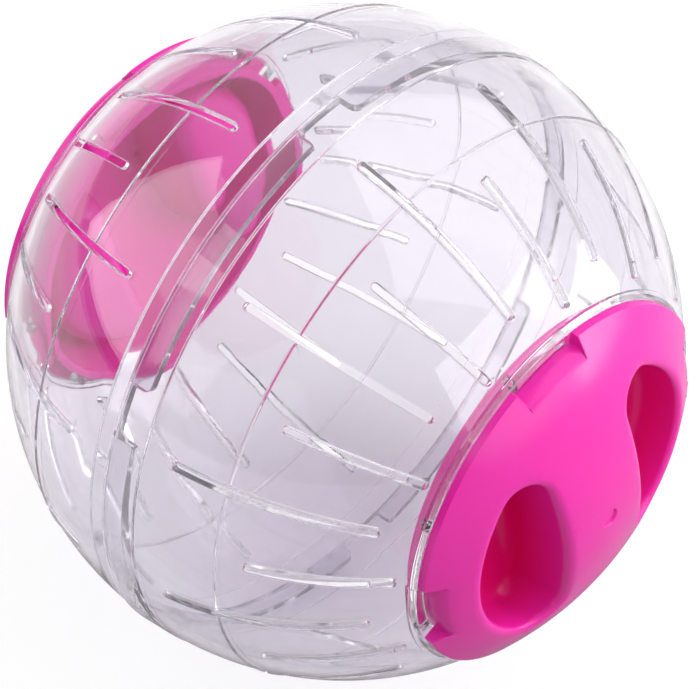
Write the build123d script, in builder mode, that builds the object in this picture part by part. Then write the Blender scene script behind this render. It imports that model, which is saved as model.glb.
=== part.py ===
"""Hamster ball: two clear half shells lapped together at the middle, and a pink twist-off door on each side.

Millimetres. The origin is the centre of the ball, +X runs through the right-hand door and +Z is up.
Turn angles are right-handed about +X and start at +Z.
"""

from build123d import *
from math import acos, degrees, radians, sqrt, tan
import os

os.makedirs("parts", exist_ok=True)

# Clear half shells
ball_radius = 60.0
shell_wall = 1.6
bead_place = 21.1  # distance of the fine moulded line from the middle of the ball
bead_radius = 0.25

# Turn of each half, and of the door that is locked in it
right_turn = 8.4
left_turn = 14.8

# Lap joint: the right half's skirt goes over the left half's tongues
skirt_edge = -1.2  # the skirt's free edge lies just past the middle of the ball
skirt_shoulder = 5.5
skirt_proud = 0.4
shoulder_step = 0.2
skirt_wall = 1.5
socket_depth = 6.2
half_gap = 0.3  # between the skirt's edge and the left half's rim
tongue_gap = 0.3  # between the tongues and the skirt round them
tongue_wall = 1.4
tongue_reach = 3.9  # from the left half's rim
tongue_root = 3.5
tongue_count = 6
tongue_space = 10.0  # degrees between one tongue and the next
tongue_corner = 1.6
tongue_turn = 9.9  # of the first space, from a long slot
tongue_foot = 0.3  # band of ring left at the bottom of each space

# Air slots, in two staggered rows on each half
slot_count = 12
slot_width = 1.4
slot_end = 0.45  # corner radius at the ends, as a share of the width
long_slot_start = 11.0  # distance from the middle of the ball
long_slot_margin = 4.2  # between the far end and the door's collar
short_slot_start = 25.6
short_slot_margin = 1.2

# Door plate and spigot
door_proud = 1.2
door_rim_radius = 35.5
door_edge = 1.75
door_wall = 1.6
flange_width = 3.1  # from the rim in to the spigot
spigot_wall = 1.6
spigot_length = 4.9
corner_fill_width = 2.6  # thickened inside corner, where the spigot meets the dome
corner_fill_drop = 0.6
gate_mark_radius = 1.8
gate_mark_depth = 0.5

# Finger pockets either side of the grip bar
grip_bar_width = 20.0
pocket_margin = 4.3  # from the spigot in to the pockets' arcs
pocket_corner = 5.0
pocket_depth = 12.0
pocket_draft = 6.0
pocket_lip = 1.8
pocket_floor = 2.5

# Bayonet
lug_count = 4
lug_angle = 18.0
lug_grip = 1.5
lug_thickness = 1.6
lug_gap = 0.2
window_angle = 25.0
window_ledge = 0.5
window_run = 0.8
scoop_radius = 4.0
unlock_angle = 22.5
notch_angle = 21.0
notch_centre = 21.5
notch_gap = 0.4
stop_angle = 2.0
stop_gap = 0.6
stop_height = 1.4
stop_inset = 0.2

# Door seat in each half shell
seat_gap = 0.1
collar_gap = 0.3
collar_width = 1.2
collar_proud = 0.4
seat_plate = 1.6
opening_gap = 0.7

# Places that follow from the sizes above
inner_radius = ball_radius - shell_wall
dome_radius = ball_radius + door_proud
dome_inner = dome_radius - door_wall
door_top = sqrt(dome_radius**2 - door_rim_radius**2)
door_under = door_top - door_edge
seat_top = door_under - seat_gap
seat_under = seat_top - seat_plate
lug_top = seat_under - lug_gap
spigot_radius = door_rim_radius - flange_width
opening_radius = spigot_radius + opening_gap
lug_radius = opening_radius + lug_grip
collar_inner = door_rim_radius + collar_gap
collar_outer = collar_inner + collar_width
collar_radius = ball_radius + collar_proud
collar_place = sqrt(ball_radius**2 - collar_outer**2)
spigot_inner = spigot_radius - spigot_wall
spigot_end = door_under - spigot_length
pocket_arc_radius = spigot_inner - pocket_margin
socket_radius = ball_radius + skirt_proud - skirt_wall
tongue_outer = socket_radius - tongue_gap
tongue_inner = tongue_outer - tongue_wall
left_rim = half_gap - skirt_edge
far_out = 2 * ball_radius


def on_sphere(radius, other):
    """The second of a sphere's two section coordinates, from the first."""
    return sqrt(radius**2 - other**2)


def turned(count, start=0.0):
    """Places for copies spread evenly about the ball's axis."""
    return [Location((0, 0, 0), (start + 360 / count * number, 0, 0)) for number in range(count)]


def slot_cutter(near_end, far_end):
    """One air slot through the wall at the top of the ball, along a meridian, with rounded ends."""
    lowest = inner_radius - 2 * shell_wall
    highest = ball_radius + 2 * shell_wall
    start = degrees(acos(far_end / ball_radius))
    finish = degrees(acos(near_end / ball_radius))
    with BuildPart() as cutter:
        with BuildSketch(Plane.XZ):
            with BuildLine():
                outside = CenterArc((0, 0), highest, start, finish - start)
                inside = CenterArc((0, 0), lowest, start, finish - start)
                Line(outside @ 0, inside @ 0)
                Line(outside @ 1, inside @ 1)
            make_face()
        extrude(amount=slot_width / 2, both=True)
        end_corners = cutter.edges().filter_by(GeomType.LINE).filter_by(Axis.Y, reverse=True)
        fillet(end_corners, slot_end * slot_width)
    return cutter.part


def ring_sector(low, high, inside, outside, angle):
    """Part of a plain ring about the ball's axis, from x = low to high, starting at the top."""
    with BuildPart() as sector:
        with BuildSketch(Plane.XZ):
            with Locations((low, inside)):
                Rectangle(high - low, outside - inside, align=(Align.MIN, Align.MIN))
        revolve(axis=Axis.X, revolution_arc=angle)
    return sector.part


def clear_half(rim):
    """A clear half facing +X: domed wall, door seat, collar, bead, slots and bayonet.

    rim lists the outline's points round the open side, from the wall's outside to its inside.
    """
    with BuildPart() as half:
        with BuildSketch(Plane.XY):
            wall_end = (collar_place, collar_outer)
            seat_corner = (seat_under, on_sphere(inner_radius, seat_under))
            with BuildLine():
                Polyline(*rim)
                RadiusArc(rim[0], wall_end, ball_radius)
                Polyline(
                    wall_end,
                    (on_sphere(collar_radius, collar_outer), collar_outer),
                    (on_sphere(collar_radius, collar_inner), collar_inner),
                    (seat_top, collar_inner),
                    (seat_top, opening_radius),
                    (seat_under, opening_radius),
                    seat_corner,
                )
                RadiusArc(seat_corner, rim[-1], -inner_radius)
            make_face()
            with Locations((bead_place, on_sphere(ball_radius, bead_place))):
                Circle(bead_radius)
        revolve(axis=Axis.X)
        with Locations(*turned(slot_count)):
            add(slot_cutter(long_slot_start, collar_place - long_slot_margin), mode=Mode.SUBTRACT)
        with Locations(*turned(slot_count, 180 / slot_count)):
            add(slot_cutter(short_slot_start, collar_place - short_slot_margin), mode=Mode.SUBTRACT)
        notch = ring_sector(
            seat_under - seat_plate,
            seat_top + seat_plate,
            opening_radius - notch_gap,
            lug_radius + notch_gap,
            notch_angle,
        )
        with Locations(*turned(lug_count, -notch_centre - notch_angle / 2)):
            add(notch, mode=Mode.SUBTRACT)
        stop = ring_sector(
            seat_under - stop_height,
            seat_under + seat_plate / 2,
            opening_radius + stop_inset,
            lug_radius + stop_inset,
            stop_angle,
        )
        with Locations(
            *turned(lug_count, lug_angle / 2 + stop_gap),
            *turned(lug_count, -unlock_angle - lug_angle / 2 - stop_gap - stop_angle),
        ):
            add(stop)
    return half.part


# Right half: its raised skirt is the socket of the lap joint
socket_floor = skirt_edge + socket_depth
skirt_outline = [
    (skirt_shoulder, on_sphere(ball_radius, skirt_shoulder)),
    (skirt_shoulder, on_sphere(ball_radius, skirt_shoulder) + shoulder_step),
    (skirt_edge, ball_radius + skirt_proud),
    (skirt_edge, socket_radius),
    (socket_floor, socket_radius),
    (socket_floor, on_sphere(inner_radius, socket_floor)),
]
with BuildPart() as shell_right:
    add(clear_half(skirt_outline), rotation=(right_turn, 0, 0))

# Left half: a plain rim with a ring of tongues inside it, made facing +X and then turned to face -X
tongue_tip = left_rim - tongue_reach
tongue_heel = left_rim + tongue_root
rim_outline = [
    (left_rim, on_sphere(ball_radius, left_rim)),
    (left_rim, tongue_outer),
    (tongue_tip, tongue_outer),
    (tongue_tip, tongue_inner),
    (tongue_heel, tongue_inner),
    (tongue_heel, on_sphere(inner_radius, tongue_heel)),
]
with BuildPart() as tongued_half:
    add(clear_half(rim_outline))
    space = ring_sector(
        tongue_tip - tongue_reach,
        left_rim - tongue_foot,
        tongue_inner - tongue_wall,
        tongue_outer + tongue_wall,
        tongue_space,
    )
    with Locations(*turned(tongue_count, tongue_turn - tongue_space / 2)):
        add(space, mode=Mode.SUBTRACT)
    straight_edges = tongued_half.edges().filter_by(GeomType.LINE)
    tip_span = (tongue_tip - tongue_foot, tongue_tip + tongue_foot)
    free_corners = straight_edges.filter_by_position(Axis.X, *tip_span)
    fillet(free_corners, tongue_corner)

facing_left = Location((0, 0, 0), (left_turn, 0, 0)) * Location((0, 0, 0), (0, 0, 180))
with BuildPart() as shell_left:
    add(facing_left * tongued_half.part)

# Solid D shapes of the two finger pockets, and of the moulded pods round them
pocket_mouth = on_sphere(dome_radius, (grip_bar_width / 2 + pocket_arc_radius) / 2)
plug_top = dome_radius - pocket_mouth


def pocket_pair(grow, depth):
    """Two D-shaped plugs either side of the grip bar, grown all round and run down into the door."""
    spread = grow + plug_top * tan(radians(pocket_draft))
    with BuildPart() as plugs:
        for side in (1, -1):
            with BuildSketch(Plane.YZ.offset(dome_radius)) as outline:
                Circle(pocket_arc_radius + spread)
                with Locations((side * (grip_bar_width / 2 - spread), 0)):
                    Rectangle(
                        far_out,
                        far_out,
                        align=(Align.MAX if side > 0 else Align.MIN, Align.CENTER),
                        mode=Mode.SUBTRACT,
                    )
                fillet(outline.vertices(), pocket_corner + spread)
            extrude(amount=-plug_top - depth, taper=pocket_draft)
        floor_edges = plugs.faces().filter_by(Axis.X).group_by(Axis.X)[0].edges()
        fillet(floor_edges, pocket_floor + grow)
    return plugs.part


# One scooped window in the door's edge, over a lug
with BuildPart() as window:
    with BuildSketch(Plane.XZ):
        scoop_foot_radius = spigot_radius + window_ledge
        scoop_top_radius = spigot_radius - window_run
        scoop_foot = (door_under + window_ledge, scoop_foot_radius)
        scoop_top = (on_sphere(dome_radius, scoop_top_radius), scoop_top_radius)
        with BuildLine():
            RadiusArc(scoop_foot, scoop_top, scoop_radius)
            Polyline(
                scoop_top,
                (dome_radius, scoop_top_radius),
                (dome_radius, collar_outer),
                (door_under - seat_gap, collar_outer),
                (door_under - seat_gap, scoop_foot_radius),
                scoop_foot,
            )
        make_face()
    revolve(axis=Axis.X, revolution_arc=window_angle)

# The hollow behind the door, round the pods of the pockets
with BuildPart() as door_hollow:
    with BuildSketch(Plane.XY):
        fill_radius = spigot_inner - corner_fill_width
        fill_corner = (on_sphere(dome_inner, fill_radius), fill_radius)
        behind = spigot_end - spigot_length
        with BuildLine():
            Polyline(
                (dome_inner, 0),
                (behind, 0),
                (behind, spigot_inner),
                (door_under - corner_fill_drop, spigot_inner),
                fill_corner,
            )
            RadiusArc(fill_corner, (dome_inner, 0), dome_inner)
        make_face()
    revolve(axis=Axis.X)
    add(pocket_pair(door_wall, pocket_depth + door_wall), mode=Mode.SUBTRACT)

# A door as it lies in a half that faces +X: dome, spigot, pockets, windows and lugs
with BuildPart() as plain_door:
    with BuildSketch(Plane.XY):
        with BuildLine():
            RadiusArc((dome_radius, 0), (door_top, door_rim_radius), -dome_radius)
            Polyline(
                (door_top, door_rim_radius),
                (door_under, door_rim_radius),
                (door_under, spigot_radius),
                (spigot_end, spigot_radius),
                (spigot_end, 0),
                (dome_radius, 0),
            )
        make_face()
    revolve(axis=Axis.X)
    add(door_hollow.part, mode=Mode.SUBTRACT)
    add(pocket_pair(0, pocket_depth), mode=Mode.SUBTRACT)
    mouth_edges = plain_door.edges(Select.LAST).filter_by(
        lambda edge: abs((edge @ 0.5).length - dome_radius) < pocket_lip / 10
    )
    fillet(mouth_edges, pocket_lip)
    with Locations((dome_radius - gate_mark_depth, 0, 0)):
        Cylinder(
            gate_mark_radius,
            dome_radius,
            rotation=(0, 90, 0),
            align=(Align.CENTER, Align.CENTER, Align.MIN),
            mode=Mode.SUBTRACT,
        )
    with Locations(*turned(lug_count, -window_angle / 2)):
        add(window.part, mode=Mode.SUBTRACT)
    lug = ring_sector(
        lug_top - lug_thickness,
        lug_top,
        spigot_radius - spigot_wall / 2,
        lug_radius,
        lug_angle,
    )
    with Locations(*turned(lug_count, -lug_angle / 2)):
        add(lug)

with BuildPart() as door_right:
    add(plain_door.part, rotation=(right_turn, 0, 0))

with BuildPart() as door_left:
    add(facing_left * plain_door.part)

for name, piece in (
    ("shell_right", shell_right),
    ("shell_left", shell_left),
    ("door_right", door_right),
    ("door_left", door_left),
):
    piece.part.label = name
    export_step(piece.part, f"parts/{name}.step")
    print(name, len(piece.part.solids()), "solid", round(piece.part.volume), "mm3")
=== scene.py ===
from math import acos, atan2, cos, degrees, pi, radians, sin, sqrt, tan

import bmesh
import bpy
from mathutils import Matrix, Vector


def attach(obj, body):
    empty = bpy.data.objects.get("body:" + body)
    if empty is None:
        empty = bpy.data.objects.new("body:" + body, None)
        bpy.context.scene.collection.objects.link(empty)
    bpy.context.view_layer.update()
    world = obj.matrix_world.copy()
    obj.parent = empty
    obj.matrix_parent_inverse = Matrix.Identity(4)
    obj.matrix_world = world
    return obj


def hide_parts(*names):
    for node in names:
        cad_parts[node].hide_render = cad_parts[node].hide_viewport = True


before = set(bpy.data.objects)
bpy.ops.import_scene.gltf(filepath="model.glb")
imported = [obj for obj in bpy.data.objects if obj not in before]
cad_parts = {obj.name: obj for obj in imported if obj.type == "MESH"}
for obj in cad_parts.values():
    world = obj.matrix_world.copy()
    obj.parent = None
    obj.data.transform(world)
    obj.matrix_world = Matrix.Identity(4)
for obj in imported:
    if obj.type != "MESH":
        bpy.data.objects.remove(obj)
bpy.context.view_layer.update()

# Clear right half: one injection moulding in clear plastic, a domed wall with air slots, a raised skirt at
# the seam, and a seat with a collar for the twist-on door. Its outline is drawn and spun about the ball's
# axis, and the openings are then cut. Sizes are in millimetres, angles in degrees.
mm = 0.001
ball_radius = 60.0
shell_wall = 1.6
inner_radius = ball_radius - shell_wall
right_turn = 8.4
spin_steps = 180
spin_start = 0.6  # keeps the spun edges off the cutters' flat sides
wall_step = 2.0
smooth_angle = 35
sharp_angle = 60
half_rounding = 0.15
bead_place = 21.1
bead_radius = 0.25
collar_inner = 35.8
collar_outer = 37.0
collar_radius = 60.4
seat_top = 48.0
seat_under = 46.4
opening_radius = 33.1
skirt_edge = -1.2
skirt_shoulder = 5.5
skirt_radius = 60.4
shoulder_half = 0.1
shoulder_rise = 0.2
socket_radius = 58.9
socket_floor = 5.0
slot_count = 12
slot_width = 1.4
slot_corner = 0.63
slot_reach = 3.2  # how far the cutter goes past both faces of the wall
long_slot_start, long_slot_margin = 11.0, 4.2
short_slot_start, short_slot_margin = 25.6, 1.2
lug_count = 4
notch_radius = 35.0
notch_angle, notch_middle = 21, -21.5
notch_over, notch_inside = 1.6, 0.4  # how far the cutter goes past the seat's faces and edge
stop_radius = 34.8
stop_angle = 2
stop_middles = (10.6, -33.1)
stop_height, stop_root, stop_inset = 1.4, 0.8, 0.2


def on_sphere(radius, other):
    """The second of a sphere's two section coordinates, from the first."""
    return sqrt(radius**2 - other**2)


def wall_arc(radius, start, finish):
    """Points along a spherical wall's section, from x = start to x = finish."""
    first, last = acos(start / radius), acos(finish / radius)
    count = max(2, round(abs(degrees(last - first)) / wall_step))
    angles = [first + (last - first) * n / count for n in range(count + 1)]
    return [(radius * cos(angle), radius * sin(angle)) for angle in angles]


def bead_bump():
    """The fine moulded line's half-round section, standing on the wall."""
    middle = acos(bead_place / ball_radius)
    points = []
    for slope in (180, 135, 90, 45, 0):
        along, up = bead_radius * cos(radians(slope)), bead_radius * sin(radians(slope))
        slant = middle - along / ball_radius
        points.append(((ball_radius + up) * cos(slant), (ball_radius + up) * sin(slant)))
    return points


def pick(piece):
    """Select one piece by itself and make it the active one."""
    bpy.ops.object.select_all(action="DESELECT")
    piece.select_set(True)
    bpy.context.view_layer.objects.active = piece


def new_piece(name):
    """A new mesh object with a single vertex at the origin, left in edit mode."""
    bpy.ops.object.select_all(action="DESELECT")
    bpy.ops.mesh.primitive_plane_add(size=mm)
    piece = bpy.context.object
    piece.name = piece.data.name = name
    bpy.ops.object.mode_set(mode="EDIT")
    bpy.ops.mesh.select_mode(type="VERT")
    bpy.ops.mesh.merge(type="CENTER")
    return piece


def draw(points, closed):
    """Draw a line from point to point by extruding the selected vertex."""
    here = Vector((0, 0, 0))
    for number, point in enumerate(points):
        there = Vector(point) * mm
        if number == 0:
            bpy.ops.transform.translate(value=there)
        else:
            bpy.ops.mesh.extrude_region_move(TRANSFORM_OT_translate={"value": there - here})
        here = there
    if closed:
        mesh = bmesh.from_edit_mesh(bpy.context.object.data)
        mesh.verts.ensure_lookup_table()
        mesh.verts[0].select_set(True)
        bpy.ops.mesh.edge_face_add()


def turn(piece, axis, angle):
    """Turn a piece about an axis of the ball, and put the turn in its mesh."""
    pick(piece)
    piece.matrix_world = Matrix.Rotation(radians(angle), 4, axis)
    bpy.ops.object.transform_apply(location=True, rotation=True, scale=True)


def spun(name, outline, closed=True, start=0.0, angle=360.0, steps=spin_steps):
    """A solid spun about the ball's axis from a section outline of (x, distance from the axis) points."""
    piece = new_piece(name)
    draw([(x, 0, r) for x, r in outline], closed)
    bpy.ops.mesh.select_all(action="SELECT")
    if angle < 360:
        bpy.ops.mesh.edge_face_add()
    bpy.ops.mesh.spin(steps=steps, angle=radians(angle), center=(0, 0, 0), axis=(-1, 0, 0))
    bpy.ops.mesh.select_all(action="SELECT")
    bpy.ops.mesh.remove_doubles(threshold=0.001 * mm)
    bpy.ops.mesh.normals_make_consistent(inside=False)
    bpy.ops.object.mode_set(mode="OBJECT")
    turn(piece, "X", start)
    return piece


def ring_sector(low, high, inside, outside, angle):
    """Part of a plain ring about the ball's axis, from x = low to high, centred on the top."""
    outline = [(low, inside), (high, inside), (high, outside), (low, outside)]
    return spun("sector", outline, start=-angle / 2, angle=angle, steps=max(1, round(angle / 2)))


def ring_of(piece, count, start=0.0):
    """Copies of a piece spread evenly about the ball's axis, joined into one object."""
    turn(piece, "X", start)
    copies = [piece]
    for number in range(1, count):
        pick(piece)
        bpy.ops.object.duplicate()
        copies.append(bpy.context.object)
        turn(copies[-1], "X", 360 / count * number)
    pick(piece)
    for copy in copies:
        copy.select_set(True)
    bpy.ops.object.join()
    return piece


def combine(piece, tool, operation):
    """Cut or build up a piece with a tool shape, which is then thrown away."""
    pick(piece)
    modifier = piece.modifiers.new("tool", "BOOLEAN")
    modifier.operation = operation
    modifier.solver = "MANIFOLD"
    modifier.object = tool
    bpy.ops.object.modifier_apply(modifier=modifier.name)
    bpy.data.objects.remove(tool)


def round_edges(piece, width):
    """Round the piece's sharp edges a little, and shade it smooth between what stays sharp."""
    pick(piece)
    bpy.ops.object.shade_smooth_by_angle(angle=radians(smooth_angle))
    modifier = piece.modifiers.new("rounding", "BEVEL")
    modifier.limit_method = "ANGLE"
    modifier.angle_limit = radians(sharp_angle)
    modifier.width = width * mm
    modifier.segments = 2
    modifier.use_clamp_overlap = False
    modifier.harden_normals = True
    bpy.ops.object.modifier_apply(modifier=modifier.name)


def slot_cutter(near, far):
    """One air slot's cutter: a flat bar spun along a meridian, with its end corners rounded."""
    start, finish = acos(far / ball_radius), acos(near / ball_radius)
    cutter = new_piece("slot_cutter")
    low, high = inner_radius - slot_reach, ball_radius + slot_reach
    along = Vector((cos(start), 0, sin(start)))
    side = Vector((0, slot_width / 2, 0))
    draw([along * low - side, along * high - side, along * high + side, along * low + side], True)
    bpy.ops.mesh.select_all(action="SELECT")
    bpy.ops.mesh.edge_face_add()
    bpy.ops.mesh.spin(steps=24, angle=finish - start, center=(0, 0, 0), axis=(0, 1, 0))
    bpy.ops.mesh.select_all(action="SELECT")
    bpy.ops.mesh.normals_make_consistent(inside=False)
    bpy.ops.mesh.select_mode(type="EDGE")
    bpy.ops.mesh.select_all(action="DESELECT")
    for edge in bmesh.from_edit_mesh(cutter.data).edges:
        one, two = (vertex.co for vertex in edge.verts)
        slants = [atan2(point.z, point.x) for point in (one, two)]
        at_end = all(min(abs(slant - start), abs(slant - finish)) < 1e-4 for slant in slants)
        edge.select_set(at_end and (two - one).length > slot_reach * mm)
    bpy.ops.mesh.bevel(offset=slot_corner * mm, segments=5, affect="EDGES", clamp_overlap=False)
    bpy.ops.object.mode_set(mode="OBJECT")
    return cutter


def clear_half(name, rim):
    """A clear half facing +X, from the section points round its open side: wall, seat, slots and bayonet."""
    collar_place = on_sphere(ball_radius, collar_outer)
    bump = bead_bump()
    outline = [
        *rim,
        *wall_arc(ball_radius, rim[-1][0], bump[0][0])[1:-1],
        *bump,
        *wall_arc(ball_radius, bump[-1][0], collar_place)[1:],
        (on_sphere(collar_radius, collar_outer), collar_outer),
        (on_sphere(collar_radius, collar_inner), collar_inner),
        (seat_top, collar_inner),
        (seat_top, opening_radius),
        (seat_under, opening_radius),
        *wall_arc(inner_radius, seat_under, rim[0][0])[:-1],
    ]
    half = spun(name, outline, start=spin_start)
    long_slot = slot_cutter(long_slot_start, collar_place - long_slot_margin)
    combine(half, ring_of(long_slot, slot_count), "DIFFERENCE")
    short_slot = slot_cutter(short_slot_start, collar_place - short_slot_margin)
    combine(half, ring_of(short_slot, slot_count, 180 / slot_count), "DIFFERENCE")
    notch = ring_sector(
        seat_under - notch_over,
        seat_top + notch_over,
        opening_radius - notch_inside,
        notch_radius,
        notch_angle,
    )
    combine(half, ring_of(notch, lug_count, notch_middle), "DIFFERENCE")
    for middle in stop_middles:
        stop = ring_sector(
            seat_under - stop_height,
            seat_under + stop_root,
            opening_radius + stop_inset,
            stop_radius,
            stop_angle,
        )
        combine(half, ring_of(stop, lug_count, middle), "UNION")
    return half


right_half = clear_half(
    "clear_half_right",
    [
        (socket_floor, on_sphere(inner_radius, socket_floor)),
        (socket_floor, socket_radius),
        (skirt_edge, socket_radius),
        (skirt_edge, skirt_radius),
        (skirt_shoulder - shoulder_half, on_sphere(ball_radius, skirt_shoulder) + shoulder_rise),
        (skirt_shoulder + shoulder_half, on_sphere(ball_radius, skirt_shoulder + shoulder_half)),
    ],
)
round_edges(right_half, half_rounding)
turn(right_half, "X", right_turn)
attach(right_half, "right_half")
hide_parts("shell_right")


def product(tree, one, two):
    """The product of two values in a node tree, each of them a socket or a plain number."""
    times = tree.nodes.new("ShaderNodeMath")
    times.operation = "MULTIPLY"
    for socket, value in zip(times.inputs, (one, two)):
        if isinstance(value, float):
            socket.default_value = value
        else:
            tree.links.new(value, socket)
    return times.outputs[0]


def moulded_skin():
    """The faint ripple, haze and rubbed marks of moulded plastic that has been handled."""
    group = bpy.data.node_groups.new("moulded_skin", "ShaderNodeTree")
    group.interface.new_socket("Place", in_out="INPUT", socket_type="NodeSocketVector")
    for name, value in (("Least Haze", 0.02), ("Most Haze", 0.08), ("Ripple Share", 1.0)):
        socket = group.interface.new_socket(name, in_out="INPUT", socket_type="NodeSocketFloat")
        socket.default_value = value
    for name in ("Haze", "Height", "Mottle"):
        group.interface.new_socket(name, in_out="OUTPUT", socket_type="NodeSocketFloat")
    nodes, links = group.nodes, group.links
    inputs = nodes.new("NodeGroupInput")
    outputs = nodes.new("NodeGroupOutput")

    def noise(scale, detail, roughness):
        texture = nodes.new("ShaderNodeTexNoise")
        texture.inputs["Scale"].default_value = scale
        texture.inputs["Detail"].default_value = detail
        texture.inputs["Roughness"].default_value = roughness
        links.new(inputs.outputs["Place"], texture.inputs["Vector"])
        return texture.outputs["Fac"]

    ripple = noise(scale=45, detail=1, roughness=0.4)
    smudge = noise(scale=70, detail=4, roughness=0.6)
    fine = noise(scale=900, detail=2, roughness=0.5)
    haze = nodes.new("ShaderNodeMapRange")
    haze.inputs["From Min"].default_value = 0.42
    haze.inputs["From Max"].default_value = 0.72
    links.new(smudge, haze.inputs["Value"])
    links.new(inputs.outputs["Least Haze"], haze.inputs["To Min"])
    links.new(inputs.outputs["Most Haze"], haze.inputs["To Max"])
    links.new(haze.outputs["Result"], outputs.inputs["Haze"])
    wave = product(group, ripple, inputs.outputs["Ripple Share"])
    grit = nodes.new("ShaderNodeMath")
    grit.operation = "MULTIPLY_ADD"
    grit.inputs[1].default_value = 0.01
    links.new(fine, grit.inputs[0])
    links.new(wave, grit.inputs[2])
    links.new(grit.outputs[0], outputs.inputs["Height"])
    links.new(smudge, outputs.inputs["Mottle"])
    return group


skin = moulded_skin()
clear_plastic = bpy.data.materials.new("clear_plastic")
clear_plastic.use_nodes = True
nodes, links = clear_plastic.node_tree.nodes, clear_plastic.node_tree.links
surface = nodes["Principled BSDF"]
surface.inputs["Base Color"].default_value = (0.84, 0.82, 0.865, 1)
surface.inputs["Transmission Weight"].default_value = 0.985
surface.inputs["IOR"].default_value = 1.5
place = nodes.new("ShaderNodeTexCoord")
marks = nodes.new("ShaderNodeGroup")
marks.node_tree = skin
marks.inputs["Least Haze"].default_value = 0.015
marks.inputs["Most Haze"].default_value = 0.07
marks.inputs["Ripple Share"].default_value = 1.0
links.new(place.outputs["Object"], marks.inputs["Place"])
links.new(marks.outputs["Haze"], surface.inputs["Roughness"])
bump = nodes.new("ShaderNodeBump")
bump.inputs["Strength"].default_value = 0.25
bump.inputs["Distance"].default_value = 0.4 * mm
links.new(marks.outputs["Height"], bump.inputs["Height"])
links.new(bump.outputs["Normal"], surface.inputs["Normal"])
path = nodes.new("ShaderNodeLightPath")
through = nodes.new("ShaderNodeBsdfTransparent")
through.inputs["Color"].default_value = (0.88, 0.87, 0.90, 1)
either = nodes.new("ShaderNodeMixShader")
links.new(path.outputs["Is Shadow Ray"], either.inputs["Fac"])
links.new(surface.outputs["BSDF"], either.inputs[1])
links.new(through.outputs["BSDF"], either.inputs[2])
links.new(either.outputs["Shader"], nodes["Material Output"].inputs["Surface"])
right_half.data.materials.clear()
right_half.data.materials.append(clear_plastic)

# Clear left half: the same clear moulding with a plain rim, and six rounded tongues inside it that snap
# into the right half's skirt. It is made facing right and turned round.
left_turn = 14.8
left_rim = 1.5
tongue_outer = 58.6
tongue_inner = 57.2
tongue_tip = -2.4
tongue_heel = 5.0
tongue_count = 6
tongue_corner = 1.6
space_angle, space_middle = 10, 9.9
space_past_tip, space_past_faces, space_floor_drop = 4, 1.4, 0.3
least_span = 1.2  # an edge that goes through a tongue is longer than this
left_half = clear_half(
    "clear_half_left",
    [
        (tongue_heel, on_sphere(inner_radius, tongue_heel)),
        (tongue_heel, tongue_inner),
        (tongue_tip, tongue_inner),
        (tongue_tip, tongue_outer),
        (left_rim, tongue_outer),
        (left_rim, on_sphere(ball_radius, left_rim)),
    ],
)
space = ring_sector(
    tongue_tip - space_past_tip,
    left_rim - space_floor_drop,
    tongue_inner - space_past_faces,
    tongue_outer + space_past_faces,
    space_angle,
)
combine(left_half, ring_of(space, tongue_count, space_middle), "DIFFERENCE")
pick(left_half)
bpy.ops.object.mode_set(mode="EDIT")
bpy.ops.mesh.select_mode(type="EDGE")
bpy.ops.mesh.select_all(action="DESELECT")
for edge in bmesh.from_edit_mesh(left_half.data).edges:
    reach = [Vector((0, vertex.co.y, vertex.co.z)).length for vertex in edge.verts]
    at_tip = all(abs(vertex.co.x - tongue_tip * mm) < 0.01 * mm for vertex in edge.verts)
    across = abs(reach[0] - reach[1]) > least_span * mm
    slant = degrees(atan2(-edge.verts[0].co.y, edge.verts[0].co.z)) % (360 / tongue_count)
    off_side = abs(abs(slant - space_middle) - space_angle / 2)
    edge.select_set(at_tip and across and off_side < 0.05)
bpy.ops.mesh.bevel(offset=tongue_corner * mm, segments=5, affect="EDGES", clamp_overlap=False)
bpy.ops.object.mode_set(mode="OBJECT")
round_edges(left_half, half_rounding)
turn(left_half, "Z", 180)
turn(left_half, "X", left_turn)
left_half.data.materials.clear()
left_half.data.materials.append(clear_plastic)
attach(left_half, "left_half")
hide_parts("shell_left")

# Right door: one pink moulding, a domed plate with a spigot behind it, two finger pockets either side of a
# grip bar, four scooped windows in the edge and four bayonet lugs that turn under the seat.
door_wall = 1.6
door_rounding = 0.25
dome_radius = 61.2
dome_inner = dome_radius - door_wall
door_rim_radius = 35.5
door_edge = 1.75
door_top = on_sphere(dome_radius, door_rim_radius)
door_under = door_top - door_edge
spigot_radius = 32.4
spigot_inner = spigot_radius - door_wall
spigot_length = 4.9
spigot_end = door_under - spigot_length
corner_fill, corner_drop = 2.6, 0.6
behind = spigot_end - 5
gate_radius, gate_depth, gate_slope = 1.8, 0.5, 0.3
grip_half = 10.0
pocket_arc = 26.5
pocket_corner = 5.0
pocket_depth = 12.0
pocket_floor_round = 2.5
pocket_draft = tan(radians(6))
pocket_plane = on_sphere(dome_radius, (grip_half + pocket_arc) / 2)
lip_radius = 1.8
lip_clear = 0.3  # how far the cutter stands off the lip above the dome
lip_slopes = (60, 45, 30, 15, 0)
window_angle, window_steps = 25, 14
window_foot, window_run = 0.5, 0.8
scoop_radius = 4.0
lug_under, lug_top = 44.6, 46.2
lug_root, lug_radius, lug_angle = 31.6, 34.6, 18


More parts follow.
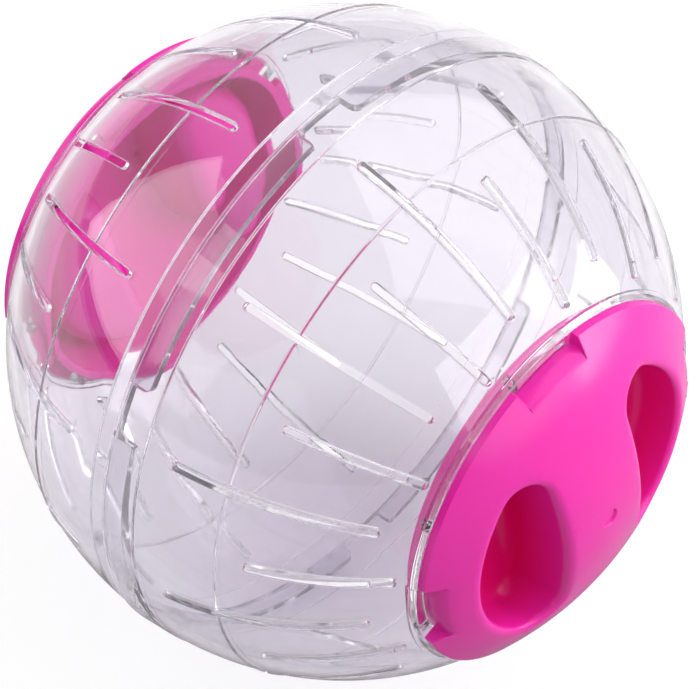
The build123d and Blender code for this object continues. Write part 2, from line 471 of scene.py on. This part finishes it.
def pocket_outline(side):
    """Points round one finger pocket, each with its outward direction, as (y, z, along y, along z)."""
    reach = pocket_arc - pocket_corner
    centre_y = grip_half + pocket_corner
    centre_z = on_sphere(reach, centre_y)
    lean = atan2(centre_z, centre_y)
    points = []

    def arc_point(y, z, radius, angle):
        v, w = cos(angle), sin(angle)
        points.append((y + radius * v, z + radius * w, v, w))

    for n in range(25):
        points.append((grip_half, centre_z * (n / 12 - 1), -1.0, 0.0))
    for n in range(1, 13):
        arc_point(centre_y, centre_z, pocket_corner, pi - (pi - lean) * n / 12)
    for n in range(1, 40):
        arc_point(0, 0, pocket_arc, lean - 2 * lean * n / 40)
    for n in range(12):
        arc_point(centre_y, -centre_z, pocket_corner, -lean - (pi - lean) * n / 12)
    return [(side * y, z, side * v, w) for y, z, v, w in points]


def pocket_plug(side, grow, depth, floor_round, lip):
    """A solid plug of one pocket's hollow, or of the pod round it, drawn ring by ring from the top down."""
    outline = pocket_outline(side)
    floor = pocket_plane - depth
    foot = floor + floor_round

    def draft(x):
        return grow + (x - pocket_plane) * pocket_draft

    def dome_at(y, z):
        return sqrt(dome_radius**2 - y * y - z * z)

    rings = []
    if lip:
        # Each ring's slope on the rounded lip, and its height over the dome where it only clears the cut.
        for slope, above in ((75, 3.0), (75, 0.06), *((slope, 0) for slope in lip_slopes)):
            ring = []
            for y, z, v, w in outline:
                wall_top = dome_at(y, z) - lip
                out = draft(wall_top) + lip * (1 - cos(radians(slope))) + (lip_clear if above else 0)
                py, pz = y + v * out, z + w * out
                drop = -above if above else lip * (1 - sin(radians(slope)))
                ring.append((dome_at(py, pz) - drop, py, pz))
            rings.append(ring)
    else:
        top = dome_radius + 2
        rings.append([(top, y + v * draft(top), z + w * draft(top)) for y, z, v, w in outline])
    for share in (0.5, 1.0):
        ring = []
        for y, z, v, w in outline:
            top = dome_at(y, z) - lip if lip else dome_radius
            x = top + (foot - top) * share
            ring.append((x, y + v * draft(x), z + w * draft(x)))
        rings.append(ring)
    for slope in (22.5, 45, 67.5, 90):
        x = floor + floor_round * (1 - sin(radians(slope)))
        out = draft(foot) - floor_round * (1 - cos(radians(slope)))
        rings.append([(x, y + v * out, z + w * out) for y, z, v, w in outline])

    plug = new_piece("pocket_plug")
    draw(rings[0], True)
    bpy.ops.mesh.select_all(action="SELECT")
    bpy.ops.mesh.edge_face_add()
    bpy.ops.mesh.select_mode(type="FACE")
    for before, after in zip(rings, rings[1:]):
        bpy.ops.mesh.extrude_region()
        places = [Vector(point) * mm for point in before]
        for vertex in [v for v in bmesh.from_edit_mesh(plug.data).verts if v.select]:
            number = min(range(len(places)), key=lambda n: (places[n] - vertex.co).length)
            vertex.co = Vector(after[number]) * mm
        bmesh.update_edit_mesh(plug.data)
    bpy.ops.mesh.select_all(action="SELECT")
    bpy.ops.mesh.normals_make_consistent(inside=False)
    bpy.ops.object.mode_set(mode="OBJECT")
    return plug


door = spun(
    "door_right_pink",
    [
        (dome_radius - gate_depth, 0),
        (dome_radius - gate_depth, gate_radius - gate_slope),
        *wall_arc(dome_radius, on_sphere(dome_radius, gate_radius), door_top),
        (door_under, door_rim_radius),
        (door_under, spigot_radius),
        (spigot_end, spigot_radius),
        (spigot_end, 0),
    ],
    closed=False,
)
hollow = spun(
    "door_hollow",
    [
        *wall_arc(dome_inner, dome_inner, on_sphere(dome_inner, spigot_inner - corner_fill)),
        (door_under - corner_drop, spigot_inner),
        (behind, spigot_inner),
        (behind, 0),
    ],
    closed=False,
)
for side in (1, -1):
    pod = pocket_plug(side, door_wall, pocket_depth + door_wall, pocket_floor_round + door_wall, 0)
    combine(hollow, pod, "DIFFERENCE")
combine(door, hollow, "DIFFERENCE")
for side in (1, -1):
    combine(door, pocket_plug(side, 0, pocket_depth, pocket_floor_round, lip_radius), "DIFFERENCE")

scoop_foot = Vector((door_under + window_foot, spigot_radius + window_foot))
scoop_top = Vector((on_sphere(dome_radius, spigot_radius - window_run), spigot_radius - window_run))
chord = scoop_top - scoop_foot
sag = on_sphere(scoop_radius, chord.length / 2)
scoop_centre = (scoop_foot + scoop_top) / 2 - chord.orthogonal().normalized() * sag
first_turn = atan2(scoop_foot.y - scoop_centre.y, scoop_foot.x - scoop_centre.x)
last_turn = atan2(scoop_top.y - scoop_centre.y, scoop_top.x - scoop_centre.x)
scoop = []
for n in range(9):
    slant = first_turn + (last_turn - first_turn) * n / 8
    scoop.append((scoop_centre.x + scoop_radius * cos(slant), scoop_centre.y + scoop_radius * sin(slant)))
window = spun(
    "window",
    [
        *scoop,
        (dome_radius + 1, scoop_top.y),
        (dome_radius + 1, collar_outer),
        (door_under - 0.1, collar_outer),
        (door_under - 0.1, scoop_foot.y),
    ],
    start=-window_angle / 2,
    angle=window_angle,
    steps=window_steps,
)
combine(door, ring_of(window, lug_count), "DIFFERENCE")
lug = ring_sector(lug_under, lug_top, lug_root, lug_radius, lug_angle)
combine(door, ring_of(lug, lug_count), "UNION")
round_edges(door, door_rounding)
pick(door)
bpy.ops.object.duplicate()
left_door = bpy.context.object
left_door.name = left_door.data.name = "door_left_pink"
turn(door, "X", right_turn)
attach(door, "right_door")
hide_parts("door_right")

# Painted shade: the pink is darkened to a deeper crimson and made duller down in the finger pockets, on
# their open side only, where light reaches only after bouncing round the walls.
pocket_shade_from, pocket_shade_to = 2, 10
pink_plastic = bpy.data.materials.new("pink_plastic")
pink_plastic.use_nodes = True
nodes, links = pink_plastic.node_tree.nodes, pink_plastic.node_tree.links
surface = nodes["Principled BSDF"]
surface.inputs["Subsurface Weight"].default_value = 0.3
surface.inputs["Subsurface Radius"].default_value = (1.0, 0.25, 0.6)
surface.inputs["Subsurface Scale"].default_value = 1.5 * mm
surface.inputs["Transmission Weight"].default_value = 0.2
surface.inputs["IOR"].default_value = 1.5
place = nodes.new("ShaderNodeTexCoord")
marks = nodes.new("ShaderNodeGroup")
marks.node_tree = skin
marks.inputs["Least Haze"].default_value = 0.18
marks.inputs["Most Haze"].default_value = 0.26
marks.inputs["Ripple Share"].default_value = 0.6
links.new(place.outputs["Object"], marks.inputs["Place"])
links.new(marks.outputs["Haze"], surface.inputs["Roughness"])
tint = nodes.new("ShaderNodeMix")
tint.data_type = "RGBA"
tint.inputs["A"].default_value = (0.87, 0.016, 0.41, 1)
tint.inputs["B"].default_value = (0.91, 0.022, 0.46, 1)
links.new(marks.outputs["Mottle"], tint.inputs["Factor"])
reach = nodes.new("ShaderNodeVectorMath")
reach.operation = "LENGTH"
links.new(place.outputs["Object"], reach.inputs[0])
depth = nodes.new("ShaderNodeMapRange")
depth.inputs["From Min"].default_value = (dome_radius - pocket_shade_from) * mm
depth.inputs["From Max"].default_value = (dome_radius - pocket_shade_to) * mm
links.new(reach.outputs["Value"], depth.inputs["Value"])
spot = nodes.new("ShaderNodeSeparateXYZ")
links.new(place.outputs["Object"], spot.inputs["Vector"])
facing = nodes.new("ShaderNodeSeparateXYZ")
links.new(place.outputs["Normal"], facing.inputs["Vector"])
outward = product(pink_plastic.node_tree, spot.outputs["X"], facing.outputs["X"])
open_side = nodes.new("ShaderNodeMapRange")
open_side.inputs["From Max"].default_value = 2 * mm
links.new(outward, open_side.inputs["Value"])
# Painted shade mask: how far down a pocket's open side a point lies.
pocket_shade = product(pink_plastic.node_tree, depth.outputs["Result"], open_side.outputs["Result"])
# Painted shade: crimson mixed into the pink down the pockets.
pocket_shaded_pink = nodes.new("ShaderNodeMix")
pocket_shaded_pink.data_type = "RGBA"
pocket_shaded_pink.inputs["B"].default_value = (0.74, 0.002, 0.15, 1)
links.new(pocket_shade, pocket_shaded_pink.inputs["Factor"])
links.new(tint.outputs["Result"], pocket_shaded_pink.inputs["A"])
links.new(pocket_shaded_pink.outputs["Result"], surface.inputs["Base Color"])
gloss = nodes.new("ShaderNodeMapRange")
gloss.inputs["To Min"].default_value = 0.3
gloss.inputs["To Max"].default_value = 0.02
links.new(pocket_shade, gloss.inputs["Value"])
links.new(gloss.outputs["Result"], surface.inputs["Specular IOR Level"])
bump = nodes.new("ShaderNodeBump")
bump.inputs["Strength"].default_value = 0.2
bump.inputs["Distance"].default_value = 0.3 * mm
links.new(marks.outputs["Height"], bump.inputs["Height"])
links.new(bump.outputs["Normal"], surface.inputs["Normal"])
door.data.materials.clear()
door.data.materials.append(pink_plastic)

# Left door: a second pink moulding from the same tool as the right door. It is turned round, and locked by
# its lugs in the left half's seat.
turn(left_door, "Z", 180)
turn(left_door, "X", left_turn)
left_door.data.materials.clear()
left_door.data.materials.append(pink_plastic)
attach(left_door, "left_door")
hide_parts("door_left")

# Floor: a plain white paper sheet that the ball stands on. It looks white wherever it is seen, but where it
# is mirrored from close by the ball it is dimmer, a painted shadow of the ball seen only in reflections, and
# it throws little light back up at the ball.
floor_size = 6
floor_under = 60.45
near_ball, clear_of_ball = 50, 260
glow_share = 0.68
bpy.ops.object.select_all(action="DESELECT")
bpy.ops.mesh.primitive_plane_add(size=floor_size, location=(0, 0, -floor_under * mm))
floor = bpy.context.object
floor.name = "floor"
white = bpy.data.materials.new("white_floor")
white.use_nodes = True
nodes, links = white.node_tree.nodes, white.node_tree.links
path = nodes.new("ShaderNodeLightPath")
seen = path.outputs["Is Camera Ray"]
for kind in ("Is Glossy Ray", "Is Transmission Ray"):
    either = nodes.new("ShaderNodeMath")
    either.operation = "MAXIMUM"
    links.new(seen, either.inputs[0])
    links.new(path.outputs[kind], either.inputs[1])
    seen = either.outputs[0]
place = nodes.new("ShaderNodeTexCoord")
away = nodes.new("ShaderNodeVectorMath")
away.operation = "LENGTH"
links.new(place.outputs["Object"], away.inputs[0])
open_floor = nodes.new("ShaderNodeMapRange")
open_floor.inputs["From Min"].default_value = near_ball * mm
open_floor.inputs["From Max"].default_value = clear_of_ball * mm
links.new(away.outputs["Value"], open_floor.inputs["Value"])


def dimmed_near_ball(rays):
    """1, but for these rays what the floor's distance from the ball gives."""
    dimmed = nodes.new("ShaderNodeMix")
    dimmed.inputs["A"].default_value = 1.0
    links.new(rays, dimmed.inputs["Factor"])
    links.new(open_floor.outputs["Result"], dimmed.inputs["B"])
    return dimmed.outputs["Result"]


mirror = nodes.new("ShaderNodeMath")
mirror.operation = "SUBTRACT"
mirror.use_clamp = True
links.new(path.outputs["Is Glossy Ray"], mirror.inputs[0])
links.new(path.outputs["Is Transmission Ray"], mirror.inputs[1])
paper = nodes["Principled BSDF"]
paper.inputs["Roughness"].default_value = 0.9
paper.inputs["Specular IOR Level"].default_value = 0.1
shade = nodes.new("ShaderNodeMix")
shade.data_type = "RGBA"
shade.inputs["A"].default_value = (0.3, 0.3, 0.3, 1)
shade.inputs["B"].default_value = (0.97, 0.97, 0.97, 1)
# Painted shadow of the ball: mirrored rays see a dark floor close by the ball.
links.new(product(white.node_tree, seen, dimmed_near_ball(mirror.outputs[0])), shade.inputs["Factor"])
links.new(shade.outputs["Result"], paper.inputs["Base Color"])
lit = nodes.new("ShaderNodeEmission")
# Painted shadow of the ball in reflections: the glow fades out close by the ball for mirrored rays.
glow = product(white.node_tree, dimmed_near_ball(path.outputs["Is Glossy Ray"]), glow_share)
either = nodes.new("ShaderNodeMixShader")
links.new(product(white.node_tree, seen, glow), either.inputs["Fac"])
links.new(paper.outputs["BSDF"], either.inputs[1])
links.new(lit.outputs["Emission"], either.inputs[2])
links.new(either.outputs["Shader"], nodes["Material Output"].inputs["Surface"])
floor.data.materials.append(white)

# Light: four soft boxes over and beside the ball, in metres and watts, and a white surround that is
# brighter towards the back right and above. Light goes on through every clear wall until it gets out.
bright_way = (0.45, 0.65, 0.61)
world = bpy.data.worlds.new("surround")
bpy.context.scene.world = world
world.use_nodes = True
nodes, links = world.node_tree.nodes, world.node_tree.links
way = nodes.new("ShaderNodeTexCoord")
toward = nodes.new("ShaderNodeVectorMath")
toward.operation = "DOT_PRODUCT"
toward.inputs[1].default_value = bright_way
links.new(way.outputs["Generated"], toward.inputs[0])
fall = nodes.new("ShaderNodeMapRange")
fall.inputs["From Min"].default_value = -0.8
fall.inputs["From Max"].default_value = 0.8
fall.inputs["To Min"].default_value = 0.1
fall.inputs["To Max"].default_value = 0.9
links.new(toward.outputs["Value"], fall.inputs["Value"])
nodes["Background"].inputs["Color"].default_value = (1, 1, 1, 1)
links.new(fall.outputs["Result"], nodes["Background"].inputs["Strength"])


def soft_box(name, where, width, height, power):
    """An area lamp that faces the ball."""
    lamp = bpy.data.lights.new(name, "AREA")
    lamp.shape = "RECTANGLE"
    lamp.size, lamp.size_y = width, height
    lamp.energy = power
    holder = bpy.data.objects.new(name, lamp)
    bpy.context.scene.collection.objects.link(holder)
    holder.location = where
    holder.rotation_euler = (-Vector(where)).to_track_quat("-Z", "Y").to_euler()


soft_box("overhead_box", (0.2, 0.42, 0.62), width=1.1, height=0.9, power=3.4)
soft_box("right_box", (0.75, 0.22, 0.25), width=0.8, height=0.55, power=2.8)
soft_box("back_box", (0.55, 0.55, 0.08), width=0.45, height=0.24, power=1.6)
soft_box("left_box", (-0.43, -0.3, 0.29), width=0.5, height=0.5, power=1.9)
bpy.context.scene.cycles.max_bounces = 24
bpy.context.scene.cycles.glossy_bounces = 16
bpy.context.scene.cycles.transmission_bounces = 24
bpy.context.scene.cycles.transparent_max_bounces = 24

# Camera: level with the horizon, looking down on the right-hand door from 0.72 m away.
camera_distance = 0.72
azimuth, elevation = radians(42.06), radians(47.3)
shift_right, shift_down = 0.9, 0.48
back = Vector((sin(azimuth) * cos(elevation), -cos(azimuth) * cos(elevation), sin(elevation)))
right = Vector((cos(azimuth), sin(azimuth), 0))
up = back.cross(right)
view = bpy.data.cameras.new("camera")
view.sensor_width = 36
view.sensor_fit = "HORIZONTAL"
view.lens = 208.5
view.clip_start = 0.01
camera = bpy.data.objects.new("camera", view)
bpy.context.scene.collection.objects.link(camera)
camera.location = back * camera_distance + right * shift_right * mm - up * shift_down * mm
camera.rotation_euler = back.to_track_quat("Z", "Y").to_euler()
bpy.context.scene.camera = camera
bpy.context.scene.view_settings.view_transform = "Standard"
